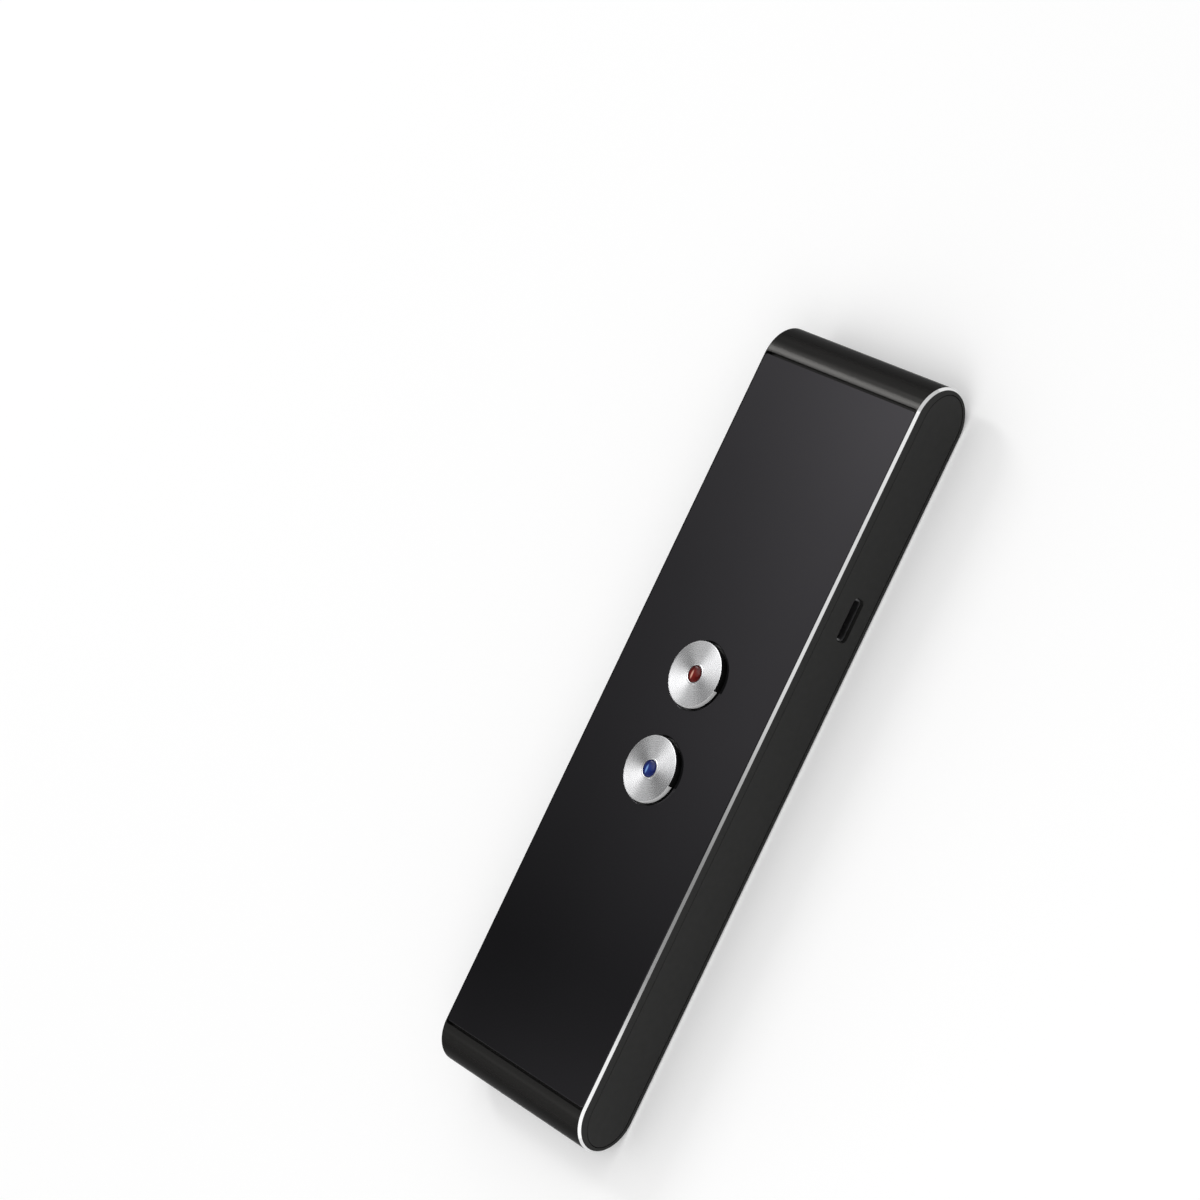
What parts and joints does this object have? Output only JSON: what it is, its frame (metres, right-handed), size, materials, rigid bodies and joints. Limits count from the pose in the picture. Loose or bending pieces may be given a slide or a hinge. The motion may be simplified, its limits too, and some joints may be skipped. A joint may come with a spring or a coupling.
{
  "type": "handheld translator",
  "caption": "Slim bar-shaped handheld translator: aluminium sleeve with rounded ends, gloss front panel, two round talk keys, side power key and volume rocker, and a micro-USB port.",
  "frame": {"origin": "centre of the flat back face, which the device lies on", "axes": "+Y along the length towards the top end, +Z out of the front face, +X to the right as seen on the front"},
  "size_m": [0.0396, 0.14, 0.0132],
  "materials": {
    "anodised_black": "brushed, black anodised, with bright diamond-cut chamfers on its side edges",
    "side_plate_plastic": "fine matte texture, dark olive grey",
    "gloss_black": "piano-black gloss",
    "adhesive_film": "matte black adhesive foam film",
    "silver_cap": "spun, circular turning marks",
    "red_lens": "clear tinted, dark red, glossy",
    "blue_lens": "clear tinted, deep blue, glossy",
    "black_plastic": "moulded, semi-matte black",
    "satin_key": "satin, bead blasted silver grey",
    "frame_plastic": "moulded glass-filled plastic",
    "board_green": "green solder mask on glass epoxy",
    "tinned_steel": "bright plated",
    "chip_black": "matte moulded package",
    "ceramic_white": "white ceramic or moulded connector",
    "cell_foil": "laminated foil pouch",
    "tape_tan": "double-sided tape",
    "lead_red": "red insulation",
    "lead_black": "black insulation",
    "seal_rubber": "soft black rubber",
    "contact_brass": "plated spring leaf"
  },
  "bodies": {
    "housing": {"housing_sleeve": "anodised_black", "left_side_plate": "side_plate_plastic", "right_side_plate": "side_plate_plastic", "front_panel": "gloss_black", "panel_adhesive_film": "adhesive_film", "red_key_switch": "black_plastic", "red_led": "red_lens", "blue_key_switch": "black_plastic", "blue_led": "blue_lens", "power_switch": "black_plastic", "volume_up_switch": "black_plastic", "volume_down_switch": "black_plastic", "inner_frame": "frame_plastic", "main_board": "board_green", "processor_chip": "chip_black", "memory_chip": "chip_black", "power_chip": "chip_black", "audio_amplifier": "chip_black", "radio_chip": "chip_black", "radio_shield": "tinned_steel", "chip_antenna": "ceramic_white", "usb_shell": "tinned_steel", "usb_contact_insert": "black_plastic", "battery_cell": "cell_foil", "battery_tape": "tape_tan", "cell_protection_board": "board_green", "battery_connector": "ceramic_white", "battery_lead_red": "lead_red", "battery_lead_black": "lead_black", "speaker": "black_plastic", "speaker_seal": "seal_rubber", "speaker_contact_left": "contact_brass", "speaker_contact_right": "contact_brass", "microphone": "tinned_steel", "microphone_boot": "seal_rubber", "frame_screw_1": "tinned_steel", "frame_screw_2": "tinned_steel", "frame_screw_3": "tinned_steel", "frame_screw_4": "tinned_steel", "board_screw_1": "tinned_steel", "board_screw_2": "tinned_steel", "board_screw_3": "tinned_steel", "board_screw_4": "tinned_steel"},
    "red_key": {"red_key_cap": "silver_cap", "red_key_lens": "red_lens", "red_key_plunger": "black_plastic", "red_switch_stem": "black_plastic"},
    "blue_key": {"blue_key_cap": "silver_cap", "blue_key_lens": "blue_lens", "blue_key_plunger": "black_plastic", "blue_switch_stem": "black_plastic"},
    "power_button": {"power_key": "satin_key", "power_switch_stem": "black_plastic"},
    "volume_button": {"volume_rocker": "satin_key", "volume_up_switch_stem": "black_plastic", "volume_down_switch_stem": "black_plastic"}
  },
  "joints": [
    {"name": "red_key_press", "type": "slide", "parent": "housing", "child": "red_key", "axis": [0, 0, -1], "range_m": [0, 0.0003], "stiffness_N_per_m": 5000},
    {"name": "blue_key_press", "type": "slide", "parent": "housing", "child": "blue_key", "axis": [0, 0, -1], "range_m": [0, 0.0003], "stiffness_N_per_m": 5000},
    {"name": "power_key_press", "type": "slide", "parent": "housing", "child": "power_button", "axis": [1, 0, 0], "range_m": [0, 0.0003], "stiffness_N_per_m": 5000},
    {"name": "volume_rocker_tilt", "type": "hinge", "parent": "housing", "child": "volume_button", "pos_m": [-0.0176, 0.006, 0.0059], "axis": [0, 0, 1], "range_deg": [-1.2, 1.2], "stiffness_Nm_per_rad": 0.8}
  ]
}
